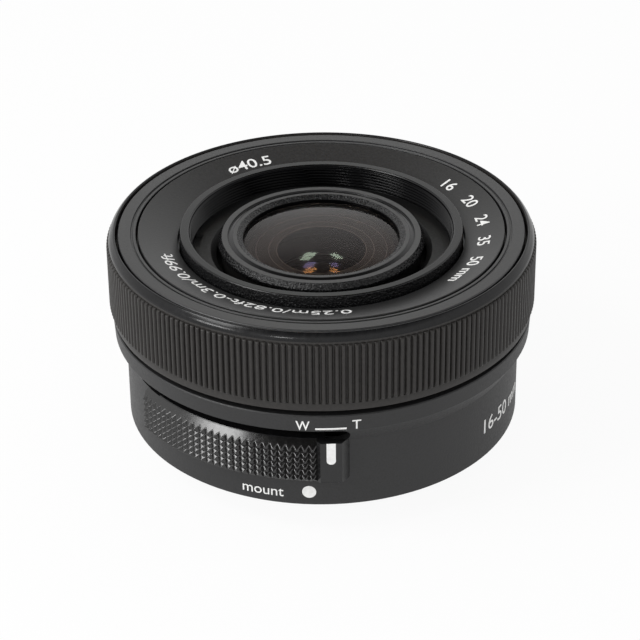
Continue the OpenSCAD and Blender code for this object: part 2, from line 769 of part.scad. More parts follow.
// Iris
module iris_ring() {
  color("#3d3f43") difference() {
    tube(iris_ring_r, iris_open_r + 0.2, iris_ring_z, iris_ring_z + iris_ring_t);
    for (i = [0 : blade_count - 1]) at(i * 360 / blade_count) crank_place()
      translate([-0.3, -iris_pin_d / 2 - 0.06, iris_ring_z - 1]) cube([0.6, iris_pin_d + 0.12, 3]);
    for (i = [0 : blade_count - 1], side = [-1, 1]) at(i * 360 / blade_count) crank_place()
      translate([side * 0.3, 0, iris_ring_z - 1]) cylinder(d = iris_pin_d + 0.12, h = 3);
  }
}

// Where a blade's drive pin starts, seen from its pivot
module crank_place() {
  x = pivot_r - crank * cos(crank_a);
  y = -crank * sin(crank_a);
  rotate([0, 0, atan2(y, x)]) translate([norm([x, y]), 0, 0]) children();
}

module iris_blade(i) {
  z = blade_z + (i - 1) * blade_pitch;
  color("#2a2a2c") at((i - 1) * 360 / blade_count) union() {
    translate([0, 0, z]) linear_extrude(height = blade_t) {
      rotate([0, 0, -92]) ring_sector(iris_open_r + 0.3, 10.2, 92);
      rotate([0, 0, -7]) ring_sector(iris_open_r + 0.3, pivot_r, 9);
      translate([pivot_r, 0]) circle(d = 1.7);
    }
    translate([pivot_r, 0, iris_z + 0.05]) cylinder(d = iris_pin_d, h = z - iris_z);
    crank_place() translate([0, 0, z]) cylinder(d = iris_pin_d, h = iris_ring_z + iris_ring_t - 0.05 - z);
  }
}

// Flat part of a ring that runs from the X axis through an angle under 180 degrees
module ring_sector(r0, r1, a) {
  far = r1 * 2;
  intersection() {
    difference() {
      circle(r = r1);
      circle(r = r0);
    }
    polygon([[0, 0], [far, 0], [far * cos(a / 2), far * sin(a / 2)], [far * cos(a), far * sin(a)]]);
  }
}

// Stabiliser
module stabiliser_guide() {
  color("#86898e") difference() {
    tube(post_r - post_d / 2 - shake_travel - 0.3, doublet_r + lens_wall + 0.6, guide_plate_z,
      guide_plate_z + guide_plate_t);
    for (a = [0, 90, 180, 270]) at(a + 45) translate([12, -2, guide_plate_z - 1]) cube([3, 4, 2]);
  }
}

module stabiliser_frame() {
  color("#2f3033") difference() {
    union() {
      tube(post_r - post_d / 2 - 2 * shake_travel - 0.4, doublet_r, frame_z, frame_z + frame_t);
      tube(doublet_r + lens_wall, doublet_r, plate_z - 2.2, frame_z + frame_t);
      tube(doublet_r + lens_wall, doublet_r - 0.7, frame_z - 0.4, frame_z + 0.2);
    }
    for (a = [0, 90]) magnet_place(a) translate([-1.25, -2.75, frame_t - 0.7]) cube([2.5, 5.5, 2]);
  }
}

module magnet_place(a) {
  at(a) translate([11.8, 0, frame_z]) children();
}

module stabiliser_magnets() {
  color("#b7babf") for (a = [0, 90]) magnet_place(a)
    translate([-1.2, -2.7, frame_t - 0.7]) cube([2.4, 5.4, 0.65]);
}

module stabiliser_lens() {
  color("#9fb4c4", 0.5) glass(doublet_r - 0.03, frame_z + 0.2, frame_z + 1.1, 0.75, -0.15);
}

module stabiliser_doublet() {
  color("#9fb4c4", 0.5) glass(doublet_r - 0.03, plate_z - 1.7, frame_z - 0.4, -0.5, -0.8);
}

// Focusing
module focus_screw() {
  color("#c3c6ca") at(focus_a) translate([rod_r, 0, middle_floor_z - 0.5])
    cylinder(d = screw_d, h = plate_z - focus_motor_h - middle_floor_z + 1.2);
}

module focus_carriage() {
  lens_r = 6.4;
  color("#3a3b3f") difference() {
    union() {
      tube(lens_r + 1.4, lens_r, focus_z, focus_z + focus_h);
      tube(lens_r + 0.5, lens_r - 0.6, focus_z, focus_z + 0.3);
      for (a = rod_a) at(a) {
        translate([lens_r + 0.8, -1, focus_z]) cube([rod_r - lens_r - 0.8, 2, focus_h * 0.6]);
        translate([rod_r, 0, focus_z]) cylinder(d = rod_d + 1.6, h = focus_h);
      }
      at(rod_a[0]) translate([rod_r, 0, focus_z]) cylinder(d = rod_d + 1.6, h = focus_h * 1.7);
      at(focus_a) {
        translate([lens_r + 0.8, -0.9, focus_z]) cube([rod_r - lens_r - 0.8, 1.8, focus_nut_h]);
        translate([rod_r, 0, focus_z]) cylinder(d = screw_d + 1.4, h = focus_nut_h);
      }
    }
    for (a = rod_a) at(a) translate([rod_r, 0, focus_z - 1]) cylinder(d = rod_d + 0.1, h = focus_h * 4);
    at(focus_a) translate([rod_r, 0, focus_z - 1]) cylinder(d = screw_d + 0.1, h = 4);
  }
}

module focus_lens() {
  color("#9fb4c4", 0.5) glass(6.37, focus_z + 0.3, focus_z + 1.3, -0.5, -0.25);
}

// Front barrel and front group
module front_barrel() {
  color("#3f3f42") difference() {
    revolve([[front_r, front_z], [front_r, cap_z], [rim_r, cap_z], [rim_r, rim_z - 0.15],
      [rim_r - 0.15, rim_z], [thread_r + rim_chamfer, rim_z], [thread_r, rim_z - rim_chamfer],
      [thread_r, thread_end_z], [thread_r + thread_relief, thread_end_z],
      [thread_r + thread_relief, floor_z], [thread_r - 0.25, floor_z], [thread_r - 0.25, ledge_z],
      [front_ri, ledge_z], [front_ri, web_z + 1], [cell_r + 0.6, web_z + 1], [cell_r + 0.6, web_z],
      [front_ri, web_z], [front_ri, front_z]]);
    for (i = [0 : 2])
      radial_bar(front_pin_a + 120 * i, front_pin_z, pin_d + 0.04, front_ri - 0.3, front_r + 1);
  }
}

module front_followers() {
  color("#b08d4f") for (i = [0 : 2]) {
    radial_bar(front_pin_a + 120 * i, front_pin_z, pin_d, front_ri + 0.05, pin_tip_r);
  }
}

module barrel_floor_ring() {
  color("#202022") tube(thread_r - 0.3, cell_r + 1.3, ledge_z, floor_z);
}

module front_cell() {
  color("#29292b") revolve([[cell_r, cell_z], [cell_r, web_z + 1], [front_ri - 0.2, web_z + 1],
    [front_ri - 0.2, web_z + 2], [cell_r, web_z + 2], [cell_r, bezel_seat_z],
    [front_edge_r + 0.05, bezel_seat_z], [front_edge_r + 0.05, front_glass_z],
    [second_r + 0.05, front_glass_z], [second_r + 0.05, second_z], [third_r + 0.05, second_z],
    [third_r + 0.05, third_z], [third_r - 0.9, third_z], [third_r - 0.9, cell_z]]);
}

module lens_ring() {
  color("#434345") revolve([[cell_r + 0.57, bezel_seat_z + 0.2], [cell_r + 0.57, bezel_z - 0.9],
    [cell_r, bezel_z], [cell_r - 0.93, bezel_z], [cell_r - 1.03, bezel_z - 0.2],
    [cell_r - 1.75, bezel_z - 0.2], [cell_r - 1.83, bezel_z], [glass_r + 0.85, bezel_z - 0.08],
    [glass_r, bezel_z - 0.5], [glass_r, bezel_seat_z], [cell_r, bezel_seat_z],
    [cell_r + 0.37, bezel_seat_z]]);
}

module front_element() {
  color("#8ea6b8", 0.5) glass(front_edge_r, front_glass_z, bezel_seat_z - 0.15, 1.3, -2.4);
}

module second_element() {
  color("#9fb4c4", 0.5) glass(second_r, second_z, second_z + 1.2, 0.7, -0.9);
}

module third_element() {
  color("#9fb4c4", 0.5) glass(third_r, third_z, third_z + 1.5, 0.6, -0.2);
}

bayonet_mount();
mount_screws();
contact_block();
contact_pins();
rear_baffle();
rear_element();
rear_housing();
mount_index_dot();
guide_tube();
cam_retaining_ring();
front_trim_ring();
name_ring();
circuit_board();
board_chips();
zoom_motor();
motor_bracket();
ring_sensor();
lever_sensor();
control_ring();
encoder_strip();
zoom_lever();
lever_slider();
cam_barrel();
drive_pinion();
middle_barrel();
middle_followers();
group_2_base();
guide_rods();
focus_motor();
iris_base();
iris_cover();
stabiliser_coils();
iris_ring();
iris_blade(1);  // iris_blade_1
iris_blade(2);  // iris_blade_2
iris_blade(3);  // iris_blade_3
iris_blade(4);  // iris_blade_4
iris_blade(5);  // iris_blade_5
iris_blade(6);  // iris_blade_6
iris_blade(7);  // iris_blade_7
stabiliser_guide();
stabiliser_frame();
stabiliser_magnets();
stabiliser_lens();
stabiliser_doublet();
focus_screw();
focus_carriage();
focus_lens();
front_barrel();
front_followers();
barrel_floor_ring();
front_cell();
lens_ring();
front_element();
second_element();
third_element();
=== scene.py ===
# %% [markdown]
# # A flat motor-zoom lens, dressed for its portrait
# The CAD frame holds every solid of the lens in its true place, in metres, with the optical axis along +Z
# and the zoom lever at the front, on the -Y side. This lesson gives it its looks: turned rings with soft
# edges, a ribbed ring, a screw thread, coated glass, printed marks, and finishes that start from the real
# materials. Sizes are in millimetres unless a comment says otherwise.

# %% Load the frame
import json

import bmesh
import bpy
import numpy as np
from mathutils import Matrix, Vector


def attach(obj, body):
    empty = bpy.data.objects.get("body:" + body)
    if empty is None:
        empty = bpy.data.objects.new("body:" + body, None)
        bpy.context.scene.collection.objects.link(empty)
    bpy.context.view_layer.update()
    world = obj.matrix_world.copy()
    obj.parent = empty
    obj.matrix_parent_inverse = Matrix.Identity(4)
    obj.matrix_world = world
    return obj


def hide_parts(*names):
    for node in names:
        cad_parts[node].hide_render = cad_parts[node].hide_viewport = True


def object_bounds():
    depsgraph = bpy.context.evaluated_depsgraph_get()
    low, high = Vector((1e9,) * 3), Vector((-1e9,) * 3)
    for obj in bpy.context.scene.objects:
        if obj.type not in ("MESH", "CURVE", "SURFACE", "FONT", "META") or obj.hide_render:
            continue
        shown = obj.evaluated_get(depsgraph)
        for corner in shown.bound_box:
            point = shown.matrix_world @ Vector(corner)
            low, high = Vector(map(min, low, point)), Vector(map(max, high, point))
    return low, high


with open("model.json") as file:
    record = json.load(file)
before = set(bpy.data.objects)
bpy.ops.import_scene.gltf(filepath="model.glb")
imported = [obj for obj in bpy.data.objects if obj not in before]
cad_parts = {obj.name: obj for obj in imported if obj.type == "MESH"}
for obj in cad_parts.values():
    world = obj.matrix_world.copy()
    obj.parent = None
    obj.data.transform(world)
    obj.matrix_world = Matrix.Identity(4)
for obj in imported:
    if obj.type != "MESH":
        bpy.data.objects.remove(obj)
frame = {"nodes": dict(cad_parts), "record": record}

cad_box = [list(corner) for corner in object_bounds()]
slot_of = {part["node"]: part["material_slot"] for part in frame["record"]["subparts"]}
per_metre = 1000  # millimetres in a metre
mm = 1 / per_metre  # a millimetre in the frame's metres
print("CAD box, mm:", np.round(np.array(cad_box) * per_metre, 2).tolist(), "nodes:", len(frame["nodes"]))

# %% [markdown]
# ## The camera
# The lens was photographed from the front and above with a long focal length. A camera can be placed by a
# bare matrix, but setting it by angles, as a photographer would, is easier to correct: it turns about a
# point on the optical axis, leans over a little, and then draws back along its own line of sight.

# %% Place the camera
def placed(name, data):
    """An object of a mesh, text, camera or lamp, put into the scene at the origin."""
    made = bpy.data.objects.new(name, data)
    bpy.context.scene.collection.objects.link(made)
    return made


sensor_width, focal_length, sideways_shift = 36, 138, -0.0034
side, elevation, lean = np.radians([0.6, 30.85, -0.58])
aim_height, distance = 0.01435, 0.385  # in metres

portrait = bpy.data.cameras.new("portrait")
portrait.sensor_width = sensor_width
portrait.lens = focal_length
portrait.shift_x = sideways_shift
camera = placed("portrait", portrait)
camera.matrix_world = (
    Matrix.Translation((0, 0, aim_height))
    @ Matrix.Rotation(side, 4, "Z")
    @ Matrix.Rotation(np.pi / 2 - elevation, 4, "X")
    @ Matrix.Rotation(lean, 4, "Z")
    @ Matrix.Translation((0, 0, distance))
)
bpy.context.scene.camera = camera
bpy.context.scene.view_settings.view_transform = "Standard"
print("camera at", np.round(camera.matrix_world.translation, 3).tolist())

# %% [markdown]
# ## Nodes and colours
# Every finish below is a small graph of shader nodes. One function adds a node, sets it up and links it, so
# that a graph reads as a list of steps. Colours are written as the hex values of a painter's chart, and a
# second function turns them into the linear light that the shader works in.

# %% Two helpers for shader graphs
def node(tree, kind, inputs=None, **settings):
    """Adds one shader node. Each input is a constant, or the output socket of another node."""
    made = tree.nodes.new(kind)
    for name, value in settings.items():
        setattr(made, name, value)
    for name, value in (inputs or {}).items():
        if isinstance(value, bpy.types.NodeSocket):
            tree.links.new(value, made.inputs[name])
        else:
            made.inputs[name].default_value = value
    return made


def linear(hex_colour):
    """sRGB hex to linear RGBA: c / 12.92 below 0.04045, else ((c + 0.055) / 1.055) ** 2.4."""
    c = np.array([int(hex_colour[i:i + 2], 16) for i in (1, 3, 5)]) / 255
    return (*np.where(c <= 0.04045, c / 12.92, ((c + 0.055) / 1.055) ** 2.4).tolist(), 1.0)


mix_share, mix_from, mix_to, mixed = 0, 6, 7, 2  # sockets of the Mix node when it mixes colours
print("mid grey in linear light:", round(linear("#808080")[0], 3))

# %% [markdown]
# ## The white studio
# The lens stands in a white room with a dark ceiling. What the camera sees, and what mirrors and glass pick
# up, is plain white at strength 1 up to the height where the walls end, and dark above; that dark is what
# gives polished black its depth. What lights the matt surfaces is a dimmer grey.

# %% World
white, ceiling_grey, fill_strength = "#ffffff", "#3c3c3c", 0.59
wall_end, ceiling_start = 0.58, 0.8  # sine of the height at which one fades into the other


def seen_ray(tree):
    """1 for rays from the camera and for mirrored and refracted rays, else 0."""
    path = node(tree, "ShaderNodeLightPath")
    shown = node(tree, "ShaderNodeMath",
                 {0: path.outputs["Is Camera Ray"], 1: path.outputs["Is Glossy Ray"]}, operation="MAXIMUM")
    return node(tree, "ShaderNodeMath", {0: shown.outputs[0], 1: path.outputs["Is Transmission Ray"]},
                operation="MAXIMUM").outputs[0]


world = bpy.data.worlds.new("white_room")
bpy.context.scene.world = world
world.use_nodes = True
tree = world.node_tree
tree.nodes.clear()
fill = node(tree, "ShaderNodeBackground", {"Color": linear(white), "Strength": fill_strength})
look = node(tree, "ShaderNodeSeparateXYZ", {0: node(tree, "ShaderNodeTexCoord").outputs["Generated"]})
height = node(tree, "ShaderNodeMapRange",
              {"Value": look.outputs["Z"], "From Min": wall_end, "From Max": ceiling_start})
shade = node(tree, "ShaderNodeMix",
             {mix_share: height.outputs[0], mix_from: linear(white), mix_to: linear(ceiling_grey)},
             data_type="RGBA")
walls = node(tree, "ShaderNodeBackground", {"Color": shade.outputs[mixed], "Strength": 1.0})
room = node(tree, "ShaderNodeMixShader", {0: seen_ray(tree), 1: fill.outputs[0], 2: walls.outputs[0]})
node(tree, "ShaderNodeOutputWorld", {"Surface": room.outputs[0]})
print("world:", world.name)

# %% [markdown]
# ## The floor
# A sheet of white paper. A paper that is only lit would turn grey at the edges of the picture, and one that
# only glows would lose the shadow under the lens. So it is part white glow and part real matt paint, with
# more glow for the camera than for what is mirrored.

# %% Floor
mirror_glow, camera_glow = 0.5, 0.93
floor_half, floor_z = 2, cad_box[0][2]  # in metres

paper = bpy.data.materials.new("white_studio_paper")
paper.use_nodes = True
tree = paper.node_tree
tree.nodes.clear()
matt = node(tree, "ShaderNodeBsdfDiffuse", {"Color": linear("#f4f4f4")})
glow = node(tree, "ShaderNodeEmission", {"Color": linear(white), "Strength": 1.0})
path = node(tree, "ShaderNodeLightPath")
share = node(tree, "ShaderNodeMapRange",
             {"Value": path.outputs["Is Camera Ray"], "To Min": mirror_glow, "To Max": camera_glow})
share = node(tree, "ShaderNodeMath", {0: seen_ray(tree), 1: share.outputs[0]}, operation="MULTIPLY")
blend = node(tree, "ShaderNodeMixShader", {0: share.outputs[0], 1: matt.outputs[0], 2: glow.outputs[0]})
node(tree, "ShaderNodeOutputMaterial", {"Surface": blend.outputs[0]})

floor_mesh = bpy.data.meshes.new("studio_floor")
floor_mesh.from_pydata([(-floor_half, -floor_half, floor_z), (floor_half, -floor_half, floor_z),
                        (floor_half, floor_half, floor_z), (-floor_half, floor_half, floor_z)],
                       [], [(0, 1, 2, 3)])
floor_mesh.materials.append(paper)
floor = placed("studio_floor", floor_mesh)
print("floor at", round(floor_z * per_metre, 2), "mm")

# %% [markdown]
# ## The lamps
# A soft box is set by where it stands round the lens, how high, how far away and how large it is. A large one
# at the front left lights the lens. A low one at the left and a small low one in front are there for their
# glints, on the coarse walls of the rings and on the thread. Behind the lens stand three tinted pairs, which
# show as coloured patches in the glass. In a real lens one white pair is mirrored by several coated surfaces,
# each with its own tint and place; mirrors inside the glass come out grainy, so the pairs stand for them, and
# all are mirrored in the front surface.

# %% Soft boxes
lamp_aim = 0.02  # height that the lamps face, in metres


def soft_box(name, around, height, away, size, watts, turn=0, colour=white):
    """Area lamp at an angle round the axis (0 is the front, 90 the right) and an angle of height, at a
    distance and with sides in metres, facing the lens and turned about its own middle."""
    lamp = bpy.data.lights.new(name, "AREA")
    lamp.shape = "RECTANGLE"
    lamp.size, lamp.size_y = size
    lamp.energy = watts
    lamp.color = linear(colour)[:3]
    stand = placed(name, lamp)
    stand.matrix_world = (
        Matrix.Translation((0, 0, lamp_aim))
        @ Matrix.Rotation(np.radians(around), 4, "Z")
        @ Matrix.Rotation(np.pi / 2 - np.radians(height), 4, "X")
        @ Matrix.Translation((0, 0, away))
        @ Matrix.Rotation(np.radians(turn), 4, "Z")
    )
    stand.visible_camera = False


front_away, pair_away = 0.6, 0.8
soft_box("front_left_box", -69, 48, front_away, (0.25, 0.19), 1.3)
soft_box("low_left_box", -57, 25, front_away, (0.17, 0.08), 0.75)
soft_box("low_front_box", -20, 27, front_away, (0.07, 0.04), 0.22)

pair_wide, pair_tall = 0.024, 0.054
tints = {  # colour, angle of height, share of the tall side, watts
    "green": ("#dfffe6", 40.3, 1.0, 0.034),
    "violet": ("#c0b8ff", 44.3, 0.7, 0.015),
    "amber": ("#ffb868", 46.6, 0.7, 0.03),
}
for side_name, around, turn, share in (("left", 183.6, -28, 1.0), ("right", 177.3, 28, 0.7)):
    for tint, (colour, height, tall_share, watts) in tints.items():
        size = (pair_wide * share, pair_tall * share * tall_share)
        soft_box(f"{tint}_{side_name}_box", around, height, pair_away, size, watts * share ** 2, turn, colour)

# %% [markdown]
# ## Starting a finish
# All finishes use the same physically based shader. Constants are written straight onto its sockets; what
# changes over the surface comes from patterns placed by Object coordinates. Most surfaces of the lens are
# blasted, spark-eroded, moulded or sprayed, so they share one pattern, a fine speckle that moves colour,
# gloss and height together.

# %% A finish and its grain
finishes = {}
noise_low, noise_high = 0.3, 0.7  # nearly all of a noise pattern lies between these


def finish(name, colour, roughness, **sockets):
    """A material with constants on its shader's own sockets; returns it with its tree, its shader and the
    Object coordinates that place its patterns."""
    material = bpy.data.materials.new(name)
    material.use_nodes = True
    tree = material.node_tree
    shader = tree.nodes["Principled BSDF"]
    shader.inputs["Base Color"].default_value = linear(colour)
    shader.inputs["Roughness"].default_value = roughness
    for socket, value in sockets.items():
        shader.inputs[socket.replace("_", " ")].default_value = value
    print("finish:", name)
    return material, tree, shader, node(tree, "ShaderNodeTexCoord").outputs["Object"]


def grained_finish(name, grain_mm, dark, light, rough, height_mm, **sockets):
    """Speckle: noise with grains of a size runs the colour from dark to light, the roughness between two
    values and the height over height_mm."""
    material, tree, shader, place = finish(name, light, rough[0], **sockets)
    speck = node(tree, "ShaderNodeTexNoise", {"Vector": place, "Scale": per_metre / grain_mm, "Detail": 2.0})
    share = node(tree, "ShaderNodeMapRange",
                 {"Value": speck.outputs["Fac"], "From Min": noise_low, "From Max": noise_high})
    shade = node(tree, "ShaderNodeMix",
                 {mix_share: share.outputs[0], mix_from: linear(dark), mix_to: linear(light)},
                 data_type="RGBA")
    gloss = node(tree, "ShaderNodeMapRange",
                 {"Value": share.outputs[0], "To Min": rough[0], "To Max": rough[1]})
    relief = node(tree, "ShaderNodeBump", {"Height": share.outputs[0], "Distance": height_mm / per_metre})
    tree.links.new(shade.outputs[mixed], shader.inputs["Base Color"])
    tree.links.new(gloss.outputs[0], shader.inputs["Roughness"])
    tree.links.new(relief.outputs[0], shader.inputs["Normal"])
    return material


print("grain helper ready")

# %% [markdown]
# ## Bead-blasted, black anodised alloy
# The trim ring, the name ring and the lens ring are turned from aluminium, blasted with glass beads and dyed
# black in the anodising bath. The oxide is a hard, clear, dyed skin, so it shines like a mineral and not like
# bare metal. The beads leave pits of about 0.1 mm; they are drawn at 0.3 mm to show as a faint sparkle.

# %% Finishes of the front rings
pit = 0.3
# Fine, shallow pits: an even dark grey with a soft sheen.
finishes["face_alloy"] = grained_finish(
    "bead_blasted_anodised_alloy", pit, "#1c1c1d", "#2a2a2b", (0.34, 0.48), 0.008, IOR=1.6)
# Finer beads and a sealed dye: less shine, so the white print stands out from every side.
finishes["name_alloy"] = grained_finish(
    "deep_black_anodised_alloy", pit, "#252525", "#303030", (0.32, 0.42), 0.006, IOR=1.42)
# Deep pits, on the wall and cone of the lens ring and the barrel's outer wall: black with single bright specks.
finishes["coarse_alloy"] = grained_finish(
    "coarse_blasted_alloy", pit, "#0a0a0b", "#161617", (0.18, 0.32), 0.08, IOR=1.45)

# %% [markdown]
# ## Black barrel
# The telescoping barrel is turned and anodised without blasting. Its walls are smoother and deeper in tone
# than the rings, with fine turning marks that run round the axis, and its thread is darker still under a film
# of oil. A wave texture could draw the marks; noise read along the radius and the height alone is less even,
# as real marks are, and stays the same all the way round.

# %% Finishes of the barrel, with turning marks
def turned_finish(name, colour, rough, pitch_mm, height_mm, **sockets):
    """A lathe-turned finish: noise of (distance from the axis, height) makes rings a pitch apart, which move
    the roughness between two values and the height a little."""
    material, tree, shader, place = finish(name, colour, rough[0], **sockets)
    flat = node(tree, "ShaderNodeVectorMath", {0: place, 1: (1, 1, 0)}, operation="MULTIPLY")
    reach = node(tree, "ShaderNodeVectorMath", {0: flat.outputs[0]}, operation="LENGTH")
    level = node(tree, "ShaderNodeSeparateXYZ", {0: place})
    spot = node(tree, "ShaderNodeCombineXYZ", {0: reach.outputs["Value"], 1: level.outputs["Z"]})
    marks = node(tree, "ShaderNodeTexNoise",
                 {"Vector": spot.outputs[0], "Scale": per_metre / pitch_mm, "Detail": 3.0},
                 noise_dimensions="2D").outputs[0]
    gloss = node(tree, "ShaderNodeMapRange", {"Value": marks, "From Min": noise_low, "From Max": noise_high,
                                              "To Min": rough[0], "To Max": rough[1]})
    relief = node(tree, "ShaderNodeBump", {"Height": marks, "Distance": height_mm / per_metre})
    tree.links.new(gloss.outputs[0], shader.inputs["Roughness"])
    tree.links.new(relief.outputs[0], shader.inputs["Normal"])
    return material


finishes["barrel_black"] = turned_finish("anodised_barrel", "#060607", (0.2, 0.3), 0.25, 0.001, IOR=1.4)
# On the lens ring's bore this finish is painted shade, standing for the shadow there.
finishes["thread_black"] = turned_finish("oiled_thread_and_painted_bore_shade", "#040405", (0.16, 0.24), 0.25, 0.001, IOR=1.25)

# %% [markdown]
# ## Ribbed ring, housing and lever
# These are moulded in glass-filled polycarbonate, and the mould makes the finish. The ring's mould is polished
# to a satin and its upper lip to a gloss; the housing's is spark-eroded, which leaves a close, even grain of
# about 0.15 mm, drawn at 0.35 mm; the lever's is polished, most of all under the finger. What is left on a
# polished mould is a faint ripple, which is drawn as wide as it needs to show.

# %% Finishes of the mouldings
ripple = 0.8
# Satin: a warm dark grey with a soft sheen on the crests.
finishes["ring_black"] = grained_finish(
    "satin_moulded_ring", 0.5, "#282625", "#312f2d", (0.4, 0.5), 0.003, IOR=1.4)
# Spark grain: dull and even, with no mirror image in it.
finishes["housing_black"] = grained_finish(
    "spark_textured_polycarbonate", 0.35, "#191919", "#262627", (0.42, 0.58), 0.010, IOR=1.5)
# Gloss: black with soft mirror images along the rounded edges.
finishes["lever_gloss"] = grained_finish(
    "gloss_moulding", ripple, "#131314", "#1a1a1b", (0.17, 0.24), 0.001, IOR=1.5)
finishes["grip_gloss"] = grained_finish(
    "polished_grip_moulding", ripple, "#0a0909", "#0f0e0d", (0.14, 0.2), 0.001, IOR=1.66)
finishes["lip_gloss"] = grained_finish(
    "polished_ring_lip", ripple, "#111112", "#181819", (0.15, 0.22), 0.001, IOR=1.34)

# %% [markdown]
# ## Black lacquer
# Everything that light could bounce from inside the lens is sprayed with a dead matt black lacquer, which has
# hardly any shine and a coarse, dusty grain. The ring round the lens ring, which can be seen, gets a satin one.

# %% Finishes of the inside
finishes["inner_black"] = grained_finish(
    "matt_inner_lacquer", 0.8, "#0b0a09", "#100f0e", (0.62, 0.78), 0.002, Specular_IOR_Level=0.3)
finishes["floor_black"] = grained_finish(
    "satin_floor_lacquer", 0.4, "#121212", "#1a1a1a", (0.42, 0.55), 0.004, IOR=1.4)

# %% [markdown]
# ## White print
# The marks are pad-printed in white ink. The film is a few hundredths of a millimetre thick and slightly
# uneven, which keeps large letters from looking cut out of paper.

# %% Finish of the marks
finishes["mark_white"] = grained_finish(
    "white_pad_print", 0.6, "#f0f0ee", "#fbfbfa", (0.45, 0.6), 0.002, IOR=1.48)

# %% [markdown]
# ## The metals and mouldings of the mount and the works
# Behind the lens, the bayonet is brass with satin chrome, turned in rings. The rest shows at the back, through
# the glass or when the lens is taken apart: steel, gold, copper, nickel, brass, a green board and plain black
# mouldings. Turned metals get turning marks, the others a grain; a table keeps them side by side.

# %% Finishes of the mount and the works
turned_table = {  # name, colour, roughness, pitch and height of the marks
    "mount_metal": ("satin_chromed_brass", "#b4b5b7", (0.22, 0.38), 0.2, 0.006),
    "screw_steel": ("blackened_screw_steel", "#6b6c6e", (0.3, 0.45), 0.15, 0.004),
    "contact_gold": ("gold_plate", "#d8b25a", (0.15, 0.25), 0.15, 0.002),
    "barrel_alloy": ("machined_barrel_alloy", "#8f9194", (0.3, 0.45), 0.2, 0.005),
    "motor_steel": ("drawn_motor_steel", "#a2a4a7", (0.25, 0.4), 0.2, 0.004),
    "pinion_brass": ("cut_brass", "#c09a52", (0.22, 0.36), 0.15, 0.004),
}
for slot, row in turned_table.items():
    finishes[slot] = turned_finish(*row, Metallic=1.0)

grain_table = {  # name, size of the grain, dark, light, roughness; then how metallic it is
    "contact_plastic": (("contact_block_moulding", 0.3, "#161617", "#1d1d1e", (0.45, 0.6)), 0.0),
    "board_green": (("solder_masked_board", 0.5, "#123d27", "#1b5436", (0.3, 0.45)), 0.0),
    "chip_black": (("moulded_epoxy_chip", 0.3, "#1a1b1d", "#26272a", (0.5, 0.65)), 0.0),
    "coil_copper": (("enamelled_copper_wire", 0.25, "#9c5a2c", "#b9743f", (0.25, 0.4)), 1.0),
    "magnet_nickel": (("nickel_plated_magnet", 0.4, "#9b9a94", "#b3b2ac", (0.2, 0.32)), 1.0),
    "blade_black": (("black_blade_film", 0.3, "#101011", "#191a1b", (0.4, 0.55)), 0.0),
    "carriage_plastic": (("carriage_moulding", 0.3, "#1c1c1e", "#262628", (0.45, 0.6)), 0.0),
}
works_height = 0.005
for slot, (row, metallic) in grain_table.items():
    finishes[slot] = grained_finish(*row, works_height, Metallic=metallic)
print("finishes:", sorted(finishes))

# %% [markdown]
# ## Coated glass
# Each glass surface carries a coating that cuts its reflection from 4% to well under 1% and leaves a tint: warm
# on one element, violet, blue or amber on the next. The coating is written as a dark specular tint; the glass
# itself is clear. Faint polishing haze keeps it from being a perfect mirror. Inner surfaces get an index close
# to air's: their own reflections are so weak that they would only add grain to the picture.

# %% Finishes of the glass
haze_mm, haze_rough = 3, (0.03, 0.06)
outer_index, inner_index, rear_index = 1.34, 1.05, 1.4


def coated_glass(name, tint, index, body=white):
    """Glass whose reflection is cut down to the coating's tint, with a body colour and clouds of haze."""
    material, tree, shader, place = finish(name, body, haze_rough[0], IOR=index, Transmission_Weight=1.0,
                                           Specular_Tint=linear(tint))
    cloud = node(tree, "ShaderNodeTexNoise", {"Vector": place, "Scale": per_metre / haze_mm})
    haze = node(tree, "ShaderNodeMapRange",
                {"Value": cloud.outputs["Fac"], "To Min": haze_rough[0], "To Max": haze_rough[1]})
    tree.links.new(haze.outputs[0], shader.inputs["Roughness"])
    return material


coatings = {
    "front_element": coated_glass("warm_coated_glass", "#90685c", outer_index),
    "second_element": coated_glass("amber_coated_glass", "#806040", inner_index),
    "third_element": coated_glass("blue_coated_glass", "#20304a", inner_index),
    "stabiliser_lens": coated_glass("dark_coated_glass", "#302018", inner_index),
    "rear_element": coated_glass("rose_coated_glass", "#8a4a5a", rear_index),
}
violet_coat = coated_glass("violet_coated_glass", "#605880", inner_index, "#f6e6d8")
finishes["glass"] = coatings["stabiliser_lens"]
print("coatings:", len(coatings))

# %% [markdown]
# ## Dressing the CAD nodes
# Most nodes already have the right shape and only need their finish, which their material slot in the record
# names; the glasses and the lever have one of their own. A node's own mesh is never touched.

# %% Finishes onto the CAD nodes
own_finish = {**coatings, "zoom_lever": finishes["lever_gloss"]}
for name, piece in frame["nodes"].items():
    piece.data.materials.clear()
    piece.data.materials.append(own_finish.get(name, finishes[slot_of[name]]))
print("dressed nodes:", len(frame["nodes"]))

# %% [markdown]
# ## Turned rings
# A ring off the lathe is an outline carried round the axis. Blender's Screw and Bevel modifiers could make it;
# a grid worked out in numpy keeps every row in hand. In the CAD model the corners are sharp, but real edges
# are broken by a small radius that catches the light. So each outline is softened first: every corner becomes
# a short parabola, with one more point on each side that holds the flats flat when the surface is smoothed.

